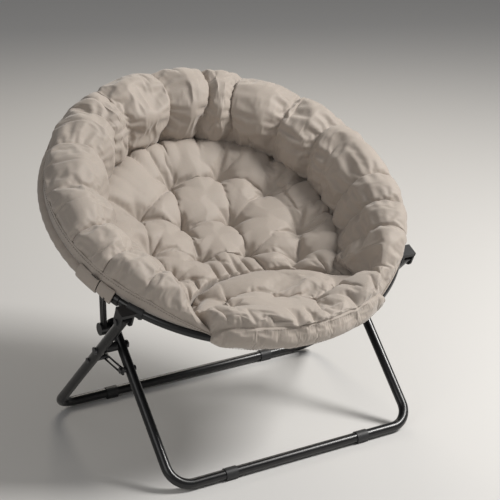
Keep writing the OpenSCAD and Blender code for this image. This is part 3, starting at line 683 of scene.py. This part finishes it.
# Front border: the cover's padded edge, turned down round the tube between the roll's
# tips, with puckers along the stitched seam that joins it to the seat.
RIM_A = math.radians(31.2)
BORDER_V = 0.002
border_outline = closed_curve(np.array([
    (0.4035, 0.047), (0.412, 0.040), (0.4185, 0.026), (0.4200, 0.010), (0.4165, -0.006),
    (0.408, -0.0155), (0.397, -0.0165), (0.3885, -0.010), (0.387, 0.002), (0.3875, 0.018),
    (0.392, 0.036),
]), 40)


def swept(name, angles, sections, material):
    """Closed tube of sections, each given as places along and above the hoop's plane."""
    total, cols = sections.shape[:2]
    r, v = sections[..., 0], sections[..., 1]
    a = angles[:, None]
    points = on_hoop(r * np.cos(a), r * np.sin(a), v).reshape(-1, 3)
    faces = []
    for i in range(total - 1):
        for j in range(cols):
            p, q = i * cols + j, i * cols + (j + 1) % cols
            faces.append((p, q, q + cols, p + cols))
    faces.append(tuple(range(cols))[::-1])
    faces.append(tuple((total - 1) * cols + j for j in range(cols)))
    return mesh_piece(name, points, faces, material)


angles = np.linspace(-quarter - RIM_A, -quarter + RIM_A, 230)
x = HOOP_R * np.cos(angles)
pleat = np.abs(np.sin(x / 0.0175 + 1.1 * np.sin(x * 31) + 0.4))[:, None]
r, v = border_outline[None, :, 0], border_outline[None, :, 1]
outside = np.clip((r - 0.400) / 0.012, 0, 1)
press = 1 - 0.13 * (1 - pleat) * np.exp(-(((v - 0.042) / 0.009) ** 2)) * outside
ends = np.clip((RIM_A - np.abs(angles + quarter)) / math.radians(4), 0, 1)[:, None]
ends = np.sqrt(ends * 0.8 + 0.2)
r = 0.402 + (r - 0.402) * press * (0.7 + 0.3 * ends)
high = front_seam(np.abs(angles + quarter))[:, None] / SEAM_V
v = BORDER_V + (v - BORDER_V) * np.where(v > BORDER_V, high, ends)
border = swept("front_border", angles, np.stack([r, v], axis=-1), cover_cloth)
held = np.zeros(v.shape)
held[:, (border_outline[:, 0] < 0.409) & (border_outline[:, 1] < 0.047)] = 1
held[:3] = held[-3:] = 1
puff(border, held.ravel(), 1.6, 0.07, 14, 0.005, 0.15)
soft_piece(border, 0.7, "front_hoop", "front_rim_padding")

# Rim bands: flat strips of the cover that close the roll to the hoop, with a thin piped
# edge on top. On the front half they end on top of the tube.
BAND_V, WELT_V, WELT_RAD = 0.0450, 0.0456, 0.0013


def strip(name, a0, a1, low, rings, body, node):
    """Flat band between two ring angles, from a low edge up to the roll's outer seam."""
    angles = np.linspace(a0, a1, rings)
    top = TIP_V + (BAND_V - TIP_V) * taper(angles)[1]
    base = np.minimum(low, top - 0.0015)
    rr = [0.3995, 0.4022, 0.4038, 0.4050, 0.4062, 0.4052, 0.4030]
    share = [0, 0, 0.35, 0.9, 1.0, 1.06, 1.0]
    sway = 0.0008 * np.sin(angles * 31) + 0.0005 * np.sin(angles * 67 + 1)
    sections = np.stack([np.stack([q + sway * (0 < s < 1), base + (top - base) * s], axis=-1)
                         for q, s in zip(rr, share)], axis=1)
    piece = swept(name, angles, sections, cover_cloth)
    if node:
        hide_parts(node)
    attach(piece, body)


strip("rim_band_right", TIP_A - quarter, front_end, 0.0100, 150, "front_hoop", "front_rim_bands")
strip("rim_band_left", math.pi - front_end, 3 * quarter - TIP_A, 0.0100, 150, "front_hoop",
      "front_rim_bands")
strip("back_band", side_end, math.pi - side_end, 0.0095, 500, "back_hoop", None)


def welt(name, a0, a1, body):
    """Thin piped edge where the roll meets its band."""
    angles = np.linspace(a0, a1, max(40, int((a1 - a0) * 170)))
    k = np.linspace(0, 2 * math.pi, 8, endpoint=False)
    top = TIP_V + (WELT_V - TIP_V) * taper(angles)[1][:, None]
    sections = np.stack([0.4052 + WELT_RAD * np.cos(k)[None, :] + 0 * top,
                         top + WELT_RAD * np.sin(k)[None, :]], axis=-1)
    piece = swept(name, angles, sections, cover_cloth)
    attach(piece, body)


welt("welt_front_right", TIP_A - quarter, front_end, "front_hoop")
welt("welt_front_left", math.pi - front_end, 3 * quarter - TIP_A, "front_hoop")
welt("welt_back", side_end, math.pi - side_end, "back_hoop")

# Back sleeve: the cover's lower edge, sewn round the tube of the back half with a light
# crimp, from one hinge cover to the other.
SLEEVE_RAD, SLEEVE_END_A = 0.0128, 0.140
angles = np.linspace(-HINGE_A + SLEEVE_END_A, math.pi + HINGE_A - SLEEVE_END_A, 420)
k = np.linspace(0, 2 * math.pi, 20, endpoint=False)
crimp = 0.0006 * np.sin(angles * 90)[:, None] * np.sin(3 * k)[None, :]
r = HOOP_R + (SLEEVE_RAD + crimp) * np.cos(k)[None, :]
v = (SLEEVE_RAD + crimp) * np.sin(k)[None, :]
sleeve = swept("back_rim_cover", angles, np.stack([r, v], axis=-1), cover_cloth)
soft_piece(sleeve, 0.2, "back_hoop", "back_rim_sleeve")

# Hinge covers: the loose ends of the same cloth sleeve, which hang over the outside of the
# hinge on both halves and are cut apart along its line.
COVER_RINGS = 24


def hinge_cover(name, a0, a1, flare, drop, body, right):
    """Bent flap whose outer side moves out by flare towards a1, and hangs by a share of drop."""
    angles = np.linspace(a0, a1, COVER_RINGS)
    if right:
        angles = math.pi - angles[::-1]
    share = np.linspace(0, 1, COVER_RINGS)[::-1 if right else 1]
    section = np.array([
        (0.4052, 0.0230), (0.4110, 0.0195), (0.4148, 0.0100), (0.4164, 0.0), (0.4158, -0.0075),
        (0.4130, -0.0128), (0.4085, -0.0152), (0.4081, -0.0139), (0.4120, -0.0118),
        (0.4145, -0.0068), (0.4150, 0.0), (0.4134, 0.0092), (0.4100, 0.0180), (0.4050, 0.0214)])
    section[:, 1] = np.where(section[:, 1] < 0, section[:, 1] * drop, section[:, 1])
    lean = np.clip((0.020 - section[:, 1]) / 0.020, 0, 1)
    sections = np.stack([section + np.stack([flare * s * lean, 0 * lean], axis=1) for s in share])
    soft_piece(swept(name, angles, sections, cover_cloth), 0.2, body)


COVER_BACK_A, COVER_FRONT_A, COVER_CUT_A = 0.150, 0.102, 0.002
COVER_FLARE, COVER_HANG = 0.0075, 0.4
hinge_a = math.pi + HINGE_A
for side, right in (("left", False), ("right", True)):
    hinge_cover("hinge_cover_back_" + side, hinge_a - COVER_BACK_A, hinge_a - COVER_CUT_A,
                0.0, 1.0, "back_hoop", right)
    hinge_cover("hinge_cover_front_" + side, hinge_a + COVER_CUT_A, hinge_a + COVER_FRONT_A,
                COVER_FLARE, COVER_HANG, "front_hoop", right)

# Stitching: short runs of a darker polyester thread along the band's upper edge, the front
# seam and the front border's hem.
thread = plain_material("taupe_thread", (0.24, 0.20, 0.17), 0.7)
STITCH_LEN, STITCH_RAD = 0.0036, 0.0006
BAND_PITCH, FRONT_PITCH = 0.0062, 0.0060
BAND_LINE_R, SEAM_LINE_R, HEM_LINE_R, HEM_LINE_V = 0.4062, 0.4085, 0.4140, -0.0096


def stitches(name, angles, r, v, body):
    """Four-sided stitches at some ring angles, along a line at radius r and heights v."""
    points, faces = [], []
    half = 0.5 * STITCH_LEN / r
    ring = [(half, 0, STITCH_RAD), (half, STITCH_RAD, 0), (half, 0, -STITCH_RAD),
            (half, -STITCH_RAD, 0)]
    for a, vv in zip(angles, v):
        base = len(points)
        for sign in (-1, 1):
            for h, dr, dv in ring:
                q = a + sign * h
                points.append(on_hoop((r + dr) * math.cos(q), (r + dr) * math.sin(q), vv + dv))
        for j in range(4):
            faces.append((base + j, base + (j + 1) % 4, base + 4 + (j + 1) % 4, base + 4 + j))
        faces.append((base + 3, base + 2, base + 1, base))
        faces.append((base + 4, base + 5, base + 6, base + 7))
    piece = mesh_piece(name, points, faces, thread)
    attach(piece, body)


def band_line(name, a0, a1, body):
    angles = np.arange(a0, a1, BAND_PITCH / HOOP_R)
    high = taper(angles)[1]
    stitches(name, angles, BAND_LINE_R, TIP_V + 0.0335 * high, body)


band_line("band_thread_right", TIP_A - quarter + 0.02, front_end, "front_hoop")
band_line("band_thread_left", math.pi - front_end, 3 * quarter - TIP_A - 0.02, "front_hoop")
band_line("band_thread_back", side_end, math.pi - side_end, "back_hoop")
angles = np.arange(-quarter - RIM_A + 0.06, -quarter + RIM_A - 0.06, FRONT_PITCH / HOOP_R)
seam_line_v = front_seam(np.abs(angles + quarter)) - 0.0015
stitches("front_seam_thread", angles, SEAM_LINE_R, seam_line_v, "front_hoop")
stitches("front_hem_thread", angles, HEM_LINE_R, np.full(len(angles), HEM_LINE_V), "front_hoop")
